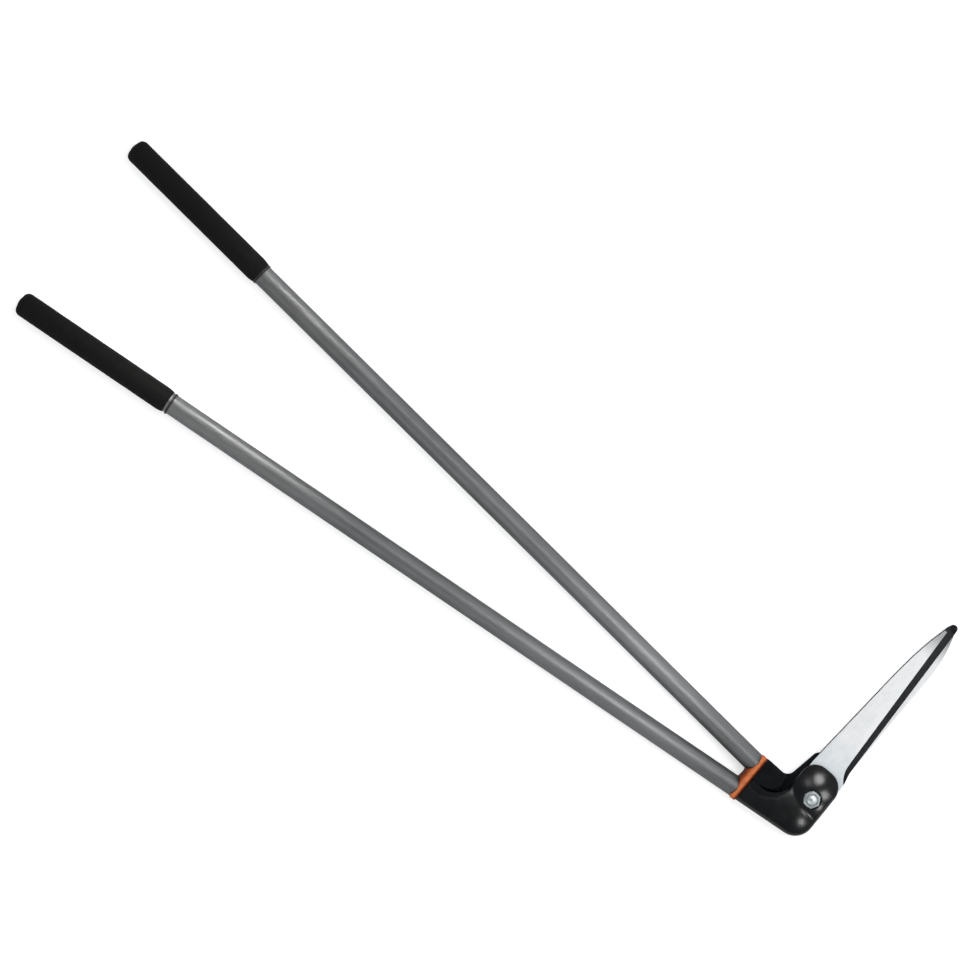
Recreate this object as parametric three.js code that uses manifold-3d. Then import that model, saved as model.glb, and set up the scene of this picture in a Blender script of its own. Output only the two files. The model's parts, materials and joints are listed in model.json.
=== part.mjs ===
// Long handled edging shears: two L shaped levers crossed on one pivot.
// Millimetres. +Z runs up the pivot axis, +X along the closed blades to their tips,
// +Y towards the grips. The origin is the middle of the pivot bolt's head face.

import * as THREE from 'three';
import { mergeVertices } from 'three/addons/utils/BufferGeometryUtils.js';
import Module from 'manifold-3d';

const wasm = await Module();
wasm.setup();

// Clearances
const fitGap = 0.3;        // between a piece and the piece that it is cut for
const runningGap = 0.1;    // between faces that slide on each other
const cutOverrun = 4;      // how far a cutting tool runs past what it cuts

// Handles: each runs from the foot of the perpendicular that the pivot drops on its axis
const frontTubeAngle = 95.8;      // degrees from +X
const rearTubeAngle = 85.2;
const frontTubeOffset = 33;       // pivot to the handle's axis
const rearTubeOffset = 14.2;
const frontReach = 963;           // foot of the perpendicular to the end of the grip
const rearReach = 969;
const tubeRadius = 11;
const tubeWall = 1.4;
const plugLength = 18;
const plugFlange = 2;
const spigotLength = 48;          // of the holder, inside the tube
const tubeScrewSetIn = 24;        // from the tube's end to its screw
const tubeScrewRadius = 1.7;
const tubeScrewLength = 8;
const tubeScrewHeadRadius = 3.4;
const tubeScrewHeadHeight = 1.5;
const screwTopShare = 0.8;        // flat top of the screw's head, of its radius

// Foam grips
const gripRadius = 13;
const gripLength = 185.5;
const gripEndThickness = 8;
const gripEndRound = 7;
const gripEndDome = 1.2;          // rise of the end's middle above its rounded edge
const gripMouthTaper = 8;
const mouthBendShare = 0.25;      // of the taper's length, where it bends most
const gripMouthRadius = 12;
const gripRingWidth = 2.4;
const gripRingHeight = 0.8;
const frontRingStandOff = 2.4;    // grip's mouth to the ring
const rearRingStandOff = 0.3;

// Moulded holders
const holderThickness = 26;
const frontEdgeReach = 8.5;       // how wide and how deep the front holder's edges are rounded
const frontEdgeDrop = 7.5;
const rearEdgeReach = 6;          // and the rear holder's
const rearEdgeDrop = 4.5;
const jointLine = 60;             // pivot to the holders' end faces
const partingPlace = -22.9;       // where the closed levers meet
const partingGap = 0.4;
const heelDrop = 19.3;            // pivot to the bottom edge, at the heel
const toeDrop = 18;             // and at the toe
const toeReach = 34;
const lobeRise = 26.1;
const lobeInnerEdge = -6;
const heelRound = 20.5;
const toeRound = 19;
const lobeRound = 17;
const crescentRadius = 19.3;      // hollow between the front lobe and the rear holder's corner
const crescentHeight = 46;
const crownRadius = 90;           // how the front holder's top domes over the pivot and the heel
const crownReach = 48;
const heelReach = 24;             // pivot to the middle of the heel
const heelRise = 4;
const neckReach = 36;             // pivot to the middle of the neck, at the joint line
const pocketRadius = 27.3;        // space that the front holder leaves for the rear lobe
const bridgeSide = -13;           // left side of the rear holder's bridge down to its lobe
const rearLobeRadius = 26.5;
const rearSweepRadius = 34.5;     // space that the rear neck leaves for the front lobe
const rearCornerRound = 18.5;
const rearNeckBottom = 32;
const rearNeckSide = 1.9;         // right side of the rear neck, at its foot
const rearNeckFlare = 1.6;        // how far that side leans out by the joint line
const fingerEnd = 44.5;
const fingerRise = 25.6;
const fingerRootRise = 32.8;
const fingerRound = 9;
const fingerRootRound = 9.5;
const fingerDrop = 13.5;
const fingerDropRound = 10;

// Bumper collars between the holders and the tubes
const collarWall = 1.2;
const collarThickness = 25.4;
const collarRound = 8;
const collarFlange = 3.4;         // holder's end face to the tube's end
const collarOuterLip = 7;         // joint line to the mouth, on the outside
const collarMiddleLip = 4.6;      // over the middle of the tube
const collarInnerLip = 11.6;      // between the handles
const collarSaddle = 10;          // where the two collars meet

// Blades: a blade's own frame has its sliding face at z = 0 and its cutting edge at -y
const bladeThickness = 3;
const bladeGap = 0.6;
const edgeLand = 0.5;
const bevelWidth = 6.9;           // halfway along the edge
const bevelSpread = 0.6;          // degrees by which it widens towards the tip
const grindRadius = 30;
const tipRadius = 4.4;
const tipArcEnd = 60;             // degrees from +X
const easeBendShare = 0.33;       // where the edge's run-up from the tang bends most
const tangReach = 20.5;
const frontBlade = {
  reach: 232.8, tangRise: 23.1, tangDrop: 16.4, tangRound: 12,
  backStart: 42, backHeight: 24, backPull: 110, backPullHeight: 16.5,
  tipPull: 55, tipPullHeight: 18.2, tipHeight: 5.8,
  edgeStart: 45.8, edgeDrop: 13.6, edgeEase: 11.5,
};
const rearBlade = {
  reach: 228, tangRise: 13.1, tangDrop: 16, tangRound: 12,
  backStart: 168, backHeight: 13.6, backPull: 20, backPullHeight: 13.6,
  tipPull: 22, tipPullHeight: 11.2, tipHeight: 5.6,
  edgeStart: 50, edgeDrop: 9, edgeEase: 14,
};
const bladeScrewPlace = 22;       // along the blade
const bladeScrewRise = 9;         // and to each side of its axis
const bladeScrewDrop = 7;
const bladeScrewRadius = 1.9;
const bladeScrewHeadRadius = 3.8;
const bladeScrewLength = 7;

// Pivot
const boltRadius = 5;
const boltHeadWidth = 16;         // across flats
const boltHeadHeight = 6;
const bushWall = 2;
const seatDepth = 1.3;            // round seat for the washer in the front holder
const seatMargin = 1.4;
const nutWasherRadius = 8.5;
const nutWasherThickness = 1.6;
const nutWidth = 16;
const nutHexHeight = 5.4;
const nutHeight = 8;
const nutCollarRadius = 7.2;
const nutChamfer = 1;
const insertRadius = 6.4;         // nylon ring in the nut's collar
const insertHeight = 2.4;
const insertSink = 0.5;           // collar's rim to the ring
const boltEndStandOut = 1.4;      // its domed end, above the nut
const boltEndEdge = 0.5;
const bladeWasherRadius = 14;
const bladeWasherGap = 0.05;      // to each blade

// Curve smoothness
const roundSegments = 40;
const arcSegments = 6;
const edgeSegments = 4;
const crownSegments = 5;
const leastStep = 0.003;          // shorter steps along an outline are left out
const weldDistance = 1e-5;

// Heights worked out from the sizes above
const middle = holderThickness / 2;
const frontBladeHeight = middle + bladeGap / 2;
const rearBladeHeight = middle - bladeGap / 2;
const frontLobeFloor = frontBladeHeight + bladeThickness;
const rearLobeTop = rearBladeHeight - bladeThickness;
const bushRadius = boltRadius + fitGap + bushWall;
const bushTop = holderThickness - seatDepth;
const nutBottom = bushTop + nutWasherThickness;
const nutTop = nutBottom + nutHeight;
const insertTop = nutTop - insertSink;
const insertBottom = insertTop - insertHeight;
const spigotRadius = tubeRadius - tubeWall - fitGap;
const boltHeadCorner = boltHeadWidth / Math.sqrt(3);

function toRadians(degrees) {
  return THREE.MathUtils.degToRad(degrees);
}

// Solids from closed geometries, and back

function solidOf(geometry, matrix) {
  const bare = geometry.clone();
  bare.deleteAttribute('normal');
  bare.deleteAttribute('uv');
  if (matrix) bare.applyMatrix4(matrix);
  const merged = mergeVertices(bare, weldDistance);
  return new wasm.Manifold(new wasm.Mesh({
    numProp: 3,
    vertProperties: new Float32Array(merged.attributes.position.array),
    triVerts: new Uint32Array(merged.index.array),
  }));
}

function geometryOf(solid) {
  const mesh = solid.getMesh();
  const geometry = new THREE.BufferGeometry();
  geometry.setAttribute('position', new THREE.BufferAttribute(new Float32Array(mesh.vertProperties), 3));
  geometry.setIndex(new THREE.BufferAttribute(new Uint32Array(mesh.triVerts), 1));
  geometry.computeVertexNormals();
  return geometry;
}

function shift(x, y, z) {
  return new THREE.Matrix4().makeTranslation(x, y, z);
}

// An upright cylinder from one height to another
function upright(radius, low, high, x = 0, y = 0, segments = roundSegments) {
  const geometry = new THREE.CylinderGeometry(radius, radius, high - low, segments);
  geometry.rotateX(Math.PI / 2);
  return solidOf(geometry, shift(x, y, (low + high) / 2));
}

function block(lowX, highX, lowY, highY, lowZ, highZ) {
  const geometry = new THREE.BoxGeometry(highX - lowX, highY - lowY, highZ - lowZ);
  return solidOf(geometry, shift((lowX + highX) / 2, (lowY + highY) / 2, (lowZ + highZ) / 2));
}

// The outline as plain points, without the doubled ones where a line meets an arc
function plainOutline(outline) {
  const points = outline.getPoints(arcSegments);
  const kept = points.filter((point, index) => (
    point.distanceTo(points[(index + points.length - 1) % points.length]) > leastStep
  ));
  return new THREE.Shape(kept);
}

// An outline pulled up by a height, with square edges
function pulled(outline, height) {
  return new THREE.ExtrudeGeometry(plainOutline(outline), { depth: height, bevelEnabled: false });
}

// The same as a solid from one height to another
function prism(outline, low, high) {
  return solidOf(pulled(outline, high - low), shift(0, 0, low));
}

// A holder's outline pulled up to its full thickness, with both edges rounded inward
function softPrism(outline, edgeReach, edgeDrop) {
  const geometry = new THREE.ExtrudeGeometry(plainOutline(outline), {
    depth: holderThickness - 2 * edgeDrop,
    bevelEnabled: true,
    bevelSegments: edgeSegments,
    bevelSize: edgeReach,
    bevelOffset: -edgeReach,
    bevelThickness: edgeDrop,
  });
  return solidOf(geometry, shift(0, 0, edgeDrop));
}

// A turned piece about +Y from [radius, height] pairs that start and end on the axis
function turned(profile, segments = roundSegments) {
  const points = profile.map(([radius, height]) => new THREE.Vector2(radius, height));
  return new THREE.LatheGeometry(points, segments);
}

// A turned ring: the profile closes on itself
function turnedRing(inner, outer, low, high, segments = roundSegments) {
  return turned([[inner, low], [outer, low], [outer, high], [inner, high], [inner, low]], segments);
}

// Adds a line and a rounded corner to an outline
function roundCorner(outline, before, corner, after, radius) {
  const start = new THREE.Vector2(...before);
  const point = new THREE.Vector2(...corner);
  const end = new THREE.Vector2(...after);
  const inward = start.sub(point).normalize();
  const outward = end.sub(point).normalize();
  const half = Math.acos(THREE.MathUtils.clamp(inward.dot(outward), -1, 1)) / 2;
  const middleLine = inward.clone().add(outward).normalize();
  const centre = point.clone().addScaledVector(middleLine, radius / Math.sin(half));
  const reach = radius / Math.tan(half);
  const first = point.clone().addScaledVector(inward, reach).sub(centre);
  const last = point.clone().addScaledVector(outward, reach).sub(centre);
  const clockwise = inward.cross(outward) > 0;
  outline.lineTo(centre.x + first.x, centre.y + first.y);
  outline.absarc(centre.x, centre.y, radius, first.angle(), last.angle(), clockwise);
}

// A closed outline from corners given as [x, y, radius]
function roundedOutline(corners) {
  const outline = new THREE.Shape();
  const count = corners.length;
  const [firstX, firstY] = corners[0];
  outline.moveTo(firstX, firstY);
  for (let index = 1; index < count; index += 1) {
    const [x, y, radius] = corners[index];
    if (radius > 0) {
      const next = corners[(index + 1) % count];
      roundCorner(outline, corners[index - 1].slice(0, 2), [x, y], next.slice(0, 2), radius);
    } else {
      outline.lineTo(x, y);
    }
  }
  outline.closePath();
  return outline;
}

// Materials

function paint(color, roughness, metalness) {
  return () => new THREE.MeshStandardMaterial({ color, roughness, metalness });
}

const tubeFinish = paint(0x85878a, 0.38, 0.9);
const foamFinish = paint(0x161616, 0.95, 0);
const holderFinish = paint(0x1b1d20, 0.35, 0);
const collarFinish = paint(0xd0683a, 0.55, 0);
const bladeFinish = paint(0xd9dee0, 0.3, 0.85);
const zincFinish = paint(0xb9bec0, 0.3, 0.9);
const nylonFinish = paint(0xd8d6cc, 0.6, 0);
const plugFinish = paint(0x2a2a2a, 0.7, 0);

function named(name, geometry, finish) {
  const mesh = new THREE.Mesh(geometry, finish());
  mesh.name = name;
  return mesh;
}

// A handle's group: its +Y runs along the tube from the foot of the perpendicular
function handleGroup(angle, offset) {
  const group = new THREE.Group();
  const turn = toRadians(angle);
  group.position.set(-Math.sin(turn) * offset, Math.cos(turn) * offset, middle);
  group.rotation.z = turn - Math.PI / 2;
  group.updateMatrixWorld(true);
  return group;
}

const frontHandle = handleGroup(frontTubeAngle, frontTubeOffset);
const rearHandle = handleGroup(rearTubeAngle, rearTubeOffset);

// Distance along a handle at which it crosses the joint line
function jointAlong(handle) {
  return (jointLine - handle.position.y) / Math.cos(handle.rotation.z);
}

function tubeStart(handle) {
  return jointAlong(handle) + collarFlange;
}

// Turns a handle's cylinder into part coordinates
function alongHandle(handle, radius, low, high) {
  const geometry = new THREE.CylinderGeometry(radius, radius, high - low, roundSegments);
  return solidOf(geometry, handle.matrixWorld.clone().multiply(shift(0, (low + high) / 2, 0)));
}

// The hole for a tube's screw, from below the tube up to its depth in the spigot
function tubeScrewHole(handle) {
  const place = new THREE.Vector3(0, tubeStart(handle) + tubeScrewSetIn, 0);
  place.applyMatrix4(handle.matrixWorld);
  const low = middle - tubeRadius - cutOverrun;
  const high = middle - tubeRadius + tubeScrewLength + fitGap;
  return upright(tubeScrewRadius + fitGap, low, high, place.x, place.y, roundSegments / 2);
}

// Tube, end plug, screw, foam grip and ring of one handle

function tubeGeometry(handle, reach) {
  const low = tubeStart(handle);
  const high = reach - gripEndThickness - plugFlange - 2 * fitGap;
  const tube = turnedRing(tubeRadius - tubeWall, tubeRadius, low, high);
  const inHandle = handle.matrixWorld.clone().invert();
  const hole = geometryOf(tubeScrewHole(handle)).applyMatrix4(inHandle);
  return geometryOf(solidOf(tube).subtract(solidOf(hole)));
}

function plugGeometry(reach) {
  const top = reach - gripEndThickness - fitGap;
  const bottom = top - plugFlange;
  return turned([
    [0, bottom - plugLength], [spigotRadius - tubeWall, bottom - plugLength],
    [spigotRadius, bottom - plugLength + tubeWall], [spigotRadius, bottom],
    [tubeRadius, bottom], [tubeRadius, top], [0, top],
  ]);
}

function gripGeometry(reach) {
  const mouth = reach - gripLength;
  const bore = tubeRadius + fitGap;
  const profile = [[bore, mouth], [gripMouthRadius, mouth]];
  const taper = new THREE.QuadraticBezierCurve(
    new THREE.Vector2(gripMouthRadius, mouth),
    new THREE.Vector2(gripRadius, mouth + gripMouthTaper * mouthBendShare),
    new THREE.Vector2(gripRadius, mouth + gripMouthTaper),
  );
  taper.getPoints(edgeSegments).slice(1).forEach((point) => profile.push([point.x, point.y]));
  const shoulder = reach - gripEndDome - gripEndRound;
  for (let step = 0; step <= arcSegments; step += 1) {
    const turn = (Math.PI / 2) * (step / arcSegments);
    profile.push([
      gripRadius - gripEndRound * (1 - Math.cos(turn)),
      shoulder + gripEndRound * Math.sin(turn),
    ]);
  }
  profile.push([0, reach], [0, reach - gripEndThickness], [bore, reach - gripEndThickness], [bore, mouth]);
  return turned(profile);
}

function gripRingGeometry(reach, standOff) {
  const top = reach - gripLength - standOff;
  const bore = tubeRadius + fitGap;
  return turnedRing(bore, bore + gripRingHeight, top - gripRingWidth, top);
}

function tubeScrewGeometry() {
  return turned([
    [0, -tubeScrewHeadHeight], [tubeScrewHeadRadius * screwTopShare, -tubeScrewHeadHeight],
    [tubeScrewHeadRadius, -tubeScrewHeadHeight / 2], [tubeScrewHeadRadius, 0],
    [tubeScrewRadius, 0], [tubeScrewRadius, tubeScrewLength - tubeScrewRadius * 2], [0, tubeScrewLength],
  ], roundSegments / 2);
}

// Collars: a rounded section pulled along the handle, trimmed to the curved mouth
// inner is +1 when the other handle lies on the +X side and -1 when it lies on the -X side

function collarSection(inner) {
  const outerSide = -inner * (tubeRadius + collarWall);
  const innerSide = inner * (tubeRadius * 2 + cutOverrun);
  const half = collarThickness / 2;
  const corners = [
    [innerSide, half, 0], [outerSide, half, collarRound],
    [outerSide, -half, collarRound], [innerSide, -half, 0],
  ];
  return roundedOutline(corners);
}

function collarPlan(inner, joint) {
  const edge = inner * (tubeRadius + collarWall + cutOverrun);
  const wide = inner * (tubeRadius * 2 + cutOverrun);
  const outerLip = joint + collarOuterLip;
  const innerLip = joint + collarInnerLip;
  const pull = joint + 2 * collarMiddleLip - (collarOuterLip + collarInnerLip) / 2;
  const plan = new THREE.Shape();
  plan.moveTo(-edge, joint - cutOverrun);
  plan.lineTo(wide, joint - cutOverrun);
  plan.lineTo(wide, joint + collarSaddle);
  plan.quadraticCurveTo(
    inner * (tubeRadius + 2 * collarWall), joint + collarSaddle,
    inner * tubeRadius, innerLip,
  );
  plan.quadraticCurveTo(0, pull, -inner * tubeRadius, outerLip);
  plan.lineTo(-edge, outerLip);
  plan.closePath();
  return plan;
}

function collarSolid(handle, inner) {
  const joint = jointAlong(handle);
  const half = collarThickness / 2;
  const length = collarInnerLip + 2 * cutOverrun;
  const sleeve = pulled(collarSection(inner), length);
  sleeve.rotateX(Math.PI / 2);
  sleeve.translate(0, joint - cutOverrun + length, 0);
  const plan = pulled(collarPlan(inner, joint), collarThickness + 2 * cutOverrun);
  plan.translate(0, 0, -half - cutOverrun);
  const far = jointLine + collarInnerLip + 2 * cutOverrun;
  const side = partingPlace - inner * (fitGap / 2);
  const wide = tubeRadius * 2 + holderThickness;
  const beyondParting = inner > 0
    ? block(side, side + wide, 0, far, -cutOverrun, holderThickness + cutOverrun)
    : block(side - wide, side, 0, far, -cutOverrun, holderThickness + cutOverrun);
  return solidOf(sleeve, handle.matrixWorld)
    .intersect(solidOf(plan, handle.matrixWorld))
    .subtract(block(-wide * 2, wide * 2, 0, jointLine + fitGap, -cutOverrun, holderThickness + cutOverrun))
    .subtract(beyondParting)
    .subtract(alongHandle(handle, tubeRadius + fitGap, tubeStart(handle) - fitGap, joint + length))
    .subtract(alongHandle(handle, spigotRadius + fitGap, joint - cutOverrun, joint + length));
}

// Front holder: heel, toe and lobe over the blades, a neck at full height beside them

function frontHolderOutline() {
  const far = jointLine + 2 * cutOverrun;
  const lean = Math.tan(frontHandle.rotation.z);
  const sideAt = (y) => frontHandle.position.x - tubeRadius / Math.cos(frontHandle.rotation.z)
    - (y - frontHandle.position.y) * lean;
  return roundedOutline([
    [sideAt(far), far, 0],
    [sideAt(-heelDrop), -heelDrop, heelRound],
    [toeReach, -toeDrop, toeRound],
    [toeReach, lobeRise, lobeRound],
    [lobeInnerEdge, lobeRise, 0],
    [lobeInnerEdge, far, 0],
  ]);
}

// Half of the crown's section, from its middle outward
function crownCurve() {
  const points = [];
  for (let step = 0; step <= crownSegments; step += 1) {
    const out = crownReach * (step / crownSegments);
    points.push([out, holderThickness - out ** 2 / (2 * crownRadius)]);
  }
  return points;
}

function crownDome(x, y) {
  const geometry = turned([
    ...crownCurve(), [crownReach, -cutOverrun], [0, -cutOverrun],
  ].reverse());
  geometry.rotateX(Math.PI / 2);
  return solidOf(geometry, shift(x, y, 0));
}

function crownRidge(from, to) {
  const half = crownCurve();
  const section = new THREE.Shape();
  section.moveTo(crownReach, -cutOverrun);
  half.slice(1).reverse().forEach(([out, height]) => section.lineTo(out, height));
  half.forEach(([out, height]) => section.lineTo(-out, height));
  section.lineTo(-crownReach, -cutOverrun);
  section.closePath();
  const along = new THREE.Vector3(to[0] - from[0], to[1] - from[1], 0);
  const length = along.length();
  along.normalize();
  const upward = new THREE.Vector3(0, 0, 1);
  const place = new THREE.Matrix4().makeBasis(upward.clone().cross(along), upward, along);
  place.setPosition(from[0], from[1], 0);
  return solidOf(pulled(section, length), place);
}

// What the front holder's top may fill: a pillow over the pivot, the heel and the neck
function crownSolid() {
  const heel = [-heelReach, heelRise];
  const neck = [-neckReach, jointLine + crownReach];
  return crownDome(0, 0)
    .add(crownDome(...heel))
    .add(crownRidge(heel, neck));
}

function frontHolderSolid() {
  const over = holderThickness + cutOverrun;
  const neckSide = partingPlace - partingGap / 2;
  const far = jointLine + 3 * cutOverrun;
  const wide = toeReach + cutOverrun;
  // below the crescent a ledge closes up to the rear holder's rounded corner
  const cornerRadius = rearCornerRound + partingGap;
  const cornerHeight = rearNeckBottom + rearCornerRound;
  return softPrism(frontHolderOutline(), frontEdgeReach, frontEdgeDrop)
    .intersect(crownSolid())
    .subtract(block(-wide * 2, wide, jointLine, far, -cutOverrun, over))
    .subtract(block(neckSide, wide, crescentHeight, far, rearLobeTop, over))
    .subtract(upright(crescentRadius, rearLobeTop, over, neckSide + crescentRadius, crescentHeight))
    .subtract(block(neckSide, wide, cornerHeight, far, -cutOverrun, over))
    .subtract(upright(cornerRadius, -cutOverrun, over, neckSide + cornerRadius, cornerHeight))
    .subtract(upright(pocketRadius, -cutOverrun, frontLobeFloor, 0, 0, roundSegments * 2))
    .subtract(block(bridgeSide - 2 * fitGap, wide, -wide, far, -cutOverrun, frontLobeFloor))
    .add(alongHandle(frontHandle, spigotRadius, jointAlong(frontHandle) - cutOverrun,
      jointAlong(frontHandle) + spigotLength))
    .subtract(upright(bushRadius + fitGap, 0, over))
    .subtract(upright(nutWasherRadius + seatMargin, bushTop - runningGap, over))
    .subtract(bladeScrewHoles(frontBladeHeight, 1))
    .subtract(tubeScrewHole(frontHandle));
}

// Rear holder: a neck at full height, and a lobe with a finger below the blades

function rearNeckPlan() {
  const far = jointLine + 2 * cutOverrun;
  const left = partingPlace + partingGap / 2;
  const right = rearNeckSide + rearEdgeReach * 3;
  return roundedOutline([
    [left, far, 0],
    [left, rearNeckBottom, rearCornerRound],
    [right, rearNeckBottom, 0],
    [right, far, 0],
  ]);
}

function rearNeckOutline() {
  const far = jointLine + 2 * cutOverrun;
  const left = partingPlace - rearEdgeReach * 3;
  const flare = rearNeckFlare * (far / jointLine);
  return roundedOutline([
    [left, far, 0],
    [left, rearNeckBottom - rearEdgeReach * 3, 0],
    [rearNeckSide, rearNeckBottom - rearEdgeReach * 3, 0],
    [rearNeckSide + flare, far, 0],
  ]);
}

function rearLobeOutline() {
  const top = jointLine - cutOverrun;
  const flare = rearNeckFlare * (top / jointLine);
  const outline = new THREE.Shape();
  const startAngle = Math.acos(bridgeSide / rearLobeRadius);
  const endAngle = Math.PI + Math.asin(toeDrop / rearLobeRadius);
  const corners = [
    [fingerEnd, -fingerDrop, fingerDropRound],
    [fingerEnd, fingerRise, fingerRound],
    [rearNeckSide, fingerRootRise, fingerRootRound],
  ];
  const lastOnDisc = [Math.cos(endAngle) * rearLobeRadius, Math.sin(endAngle) * rearLobeRadius];
  const topRight = [rearNeckSide + flare, top];
  const chain = [lastOnDisc, ...corners, topRight];
  outline.moveTo(bridgeSide, top);
  outline.lineTo(bridgeSide, Math.sin(startAngle) * rearLobeRadius);
  outline.absarc(0, 0, rearLobeRadius, startAngle, endAngle, false);
  corners.forEach(([x, y, radius], index) => {
    roundCorner(outline, chain[index].slice(0, 2), [x, y], chain[index + 2].slice(0, 2), radius);
  });
  outline.lineTo(...topRight);
  outline.closePath();
  return outline;
}

function rearHolderSolid() {
  const over = holderThickness + cutOverrun;
  const far = jointLine + 3 * cutOverrun;
  const wide = fingerEnd + cutOverrun;
  const headPocket = new THREE.CylinderGeometry(
    boltHeadCorner + fitGap, boltHeadCorner + fitGap, boltHeadHeight + fitGap + cutOverrun, 6,
  );
  headPocket.rotateX(Math.PI / 2);
  const neck = softPrism(rearNeckOutline(), rearEdgeReach, rearEdgeDrop)
    .intersect(prism(rearNeckPlan(), -cutOverrun, over))
    .subtract(upright(rearSweepRadius, rearLobeTop, over, 0, 0, roundSegments * 2));
  const lobe = softPrism(rearLobeOutline(), rearEdgeReach, rearEdgeDrop)
    .subtract(block(-wide, wide, -wide, far, rearLobeTop, over));
  return neck.add(lobe)
    .subtract(block(-wide, wide, jointLine, far, -cutOverrun, over))
    .add(alongHandle(rearHandle, spigotRadius, jointAlong(rearHandle) - cutOverrun,
      jointAlong(rearHandle) + spigotLength))
    .subtract(upright(bushRadius + fitGap, 0, over))
    .subtract(solidOf(headPocket, shift(0, 0, (boltHeadHeight + fitGap - cutOverrun) / 2)))
    .subtract(bladeScrewHoles(rearBladeHeight, -1))
    .subtract(tubeScrewHole(rearHandle));
}

// Blades

function bladeScrewPlaces() {
  return [[bladeScrewPlace, bladeScrewRise], [bladeScrewPlace, -bladeScrewDrop]];
}

// Blind holes in a holder for the blade's screws: up is +1 above the blades and -1 below
function bladeScrewHoles(slidingFace, up) {
  const deep = slidingFace + up * (bladeScrewLength + fitGap);
  const low = Math.min(slidingFace, deep);
  const high = Math.max(slidingFace, deep);
  return bladeScrewPlaces()
    .map(([x, y]) => upright(bladeScrewRadius + fitGap, low, high, x, y * up, roundSegments / 2))
    .reduce((all, hole) => all.add(hole));
}

function bladeOutline(blade) {
  const edgeSlope = (blade.edgeDrop - tipRadius) / (blade.reach - tipRadius - blade.edgeStart);
  const edgeTurn = Math.atan(edgeSlope);
  const tipCentre = blade.reach - tipRadius;
  const backFrom = [blade.backStart, blade.backHeight];
  const backTo = [tipCentre - tipRadius / 2, blade.tipHeight];
  const outline = new THREE.Shape();
  outline.moveTo(blade.edgeStart - blade.edgeEase, -blade.tangDrop);
  outline.quadraticCurveTo(
    blade.edgeStart - blade.edgeEase * easeBendShare, -blade.edgeDrop - blade.edgeEase * edgeSlope,
    blade.edgeStart, -blade.edgeDrop,
  );
  outline.lineTo(tipCentre + tipRadius * Math.sin(edgeTurn), -tipRadius * Math.cos(edgeTurn));
  outline.absarc(tipCentre, 0, tipRadius, -Math.PI / 2 + edgeTurn, toRadians(tipArcEnd), false);
  outline.lineTo(...backTo);
  outline.bezierCurveTo(
    blade.reach - blade.tipPull, blade.tipPullHeight,
    blade.backStart + blade.backPull, blade.backPullHeight,
    ...backFrom,
  );
  roundCorner(outline, backFrom, [-tangReach, blade.tangRise], [-tangReach, 0], blade.tangRound);
  const lowCorner = [-tangReach, -blade.tangDrop];
  roundCorner(outline, [-tangReach, 0], lowCorner, [0, -blade.tangDrop], blade.tangRound);
  outline.closePath();
  return outline;
}

// The ground bevel: a wedge along the cutting edge that starts where the wheel ran in
function bevelCutter(blade) {
  const slope = (bladeThickness - edgeLand) / bevelWidth;
  const edgeSlope = (blade.edgeDrop - tipRadius) / (blade.reach - tipRadius - blade.edgeStart);
  const turn = Math.atan(edgeSlope);
  const spread = toRadians(bevelSpread);
  const length = blade.reach;
  const halfway = (blade.edgeStart + blade.reach) / 2;
  const wedge = new THREE.Shape();
  wedge.moveTo(-cutOverrun, edgeLand - cutOverrun * slope);
  wedge.lineTo(bevelWidth + cutOverrun, bladeThickness + cutOverrun * slope);
  wedge.lineTo(-cutOverrun, bladeThickness + cutOverrun * slope);
  wedge.closePath();
  const forward = new THREE.Vector3(Math.cos(turn + spread), Math.sin(turn + spread), 0);
  const inward = new THREE.Vector3(-forward.y, forward.x, 0);
  const along = new THREE.Matrix4().makeBasis(inward, new THREE.Vector3(0, 0, 1), forward);
  along.setPosition(
    halfway - forward.x * (length / 2),
    (halfway - blade.edgeStart) * edgeSlope - blade.edgeDrop - forward.y * (length / 2),
    0,
  );
  const wedgeSolid = solidOf(pulled(wedge, length), along);
  const startWidth = bevelWidth - (halfway - blade.edgeStart) * Math.tan(spread);
  const runIn = Math.sqrt(grindRadius ** 2 - (grindRadius - startWidth) ** 2);
  const reachAngle = Math.acos((grindRadius - startWidth - cutOverrun) / grindRadius);
  const plan = new THREE.Shape();
  plan.moveTo(runIn, startWidth);
  plan.absarc(runIn, startWidth - grindRadius, grindRadius, Math.PI / 2, Math.PI / 2 + reachAngle, false);
  plan.lineTo(length, -cutOverrun);
  plan.lineTo(length, bevelWidth * 2);
  plan.closePath();
  const flat = new THREE.Matrix4().makeRotationZ(turn);
  const runInDrop = blade.edgeDrop + blade.edgeEase * edgeSlope;
  flat.setPosition(blade.edgeStart - blade.edgeEase, -runInDrop, -cutOverrun);
  const planSolid = solidOf(pulled(plan, bladeThickness + 2 * cutOverrun), flat);
  return wedgeSolid.intersect(planSolid);
}

function bladeGeometry(blade) {
  const countersink = geometryOf(screwHeadCutter());
  let solid = prism(bladeOutline(blade), 0, bladeThickness)
    .subtract(bevelCutter(blade))
    .subtract(upright(bushRadius + fitGap, -cutOverrun, bladeThickness + cutOverrun));
  bladeScrewPlaces().forEach(([x, y]) => {
    solid = solid.subtract(solidOf(countersink, shift(x, y, 0)));
  });
  return geometryOf(solid);
}

// The cutter for a countersunk screw's hole, through the blade from its sliding face
function screwHeadCutter() {
  const head = bladeScrewHeadRadius + fitGap;
  const hole = bladeScrewRadius + fitGap;
  const geometry = turned([
    [0, -cutOverrun], [head, -cutOverrun], [head, runningGap], [hole, runningGap + head - hole],
    [hole, bladeThickness + cutOverrun], [0, bladeThickness + cutOverrun],
  ], roundSegments / 2);
  geometry.rotateX(Math.PI / 2);
  return solidOf(geometry);
}

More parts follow.
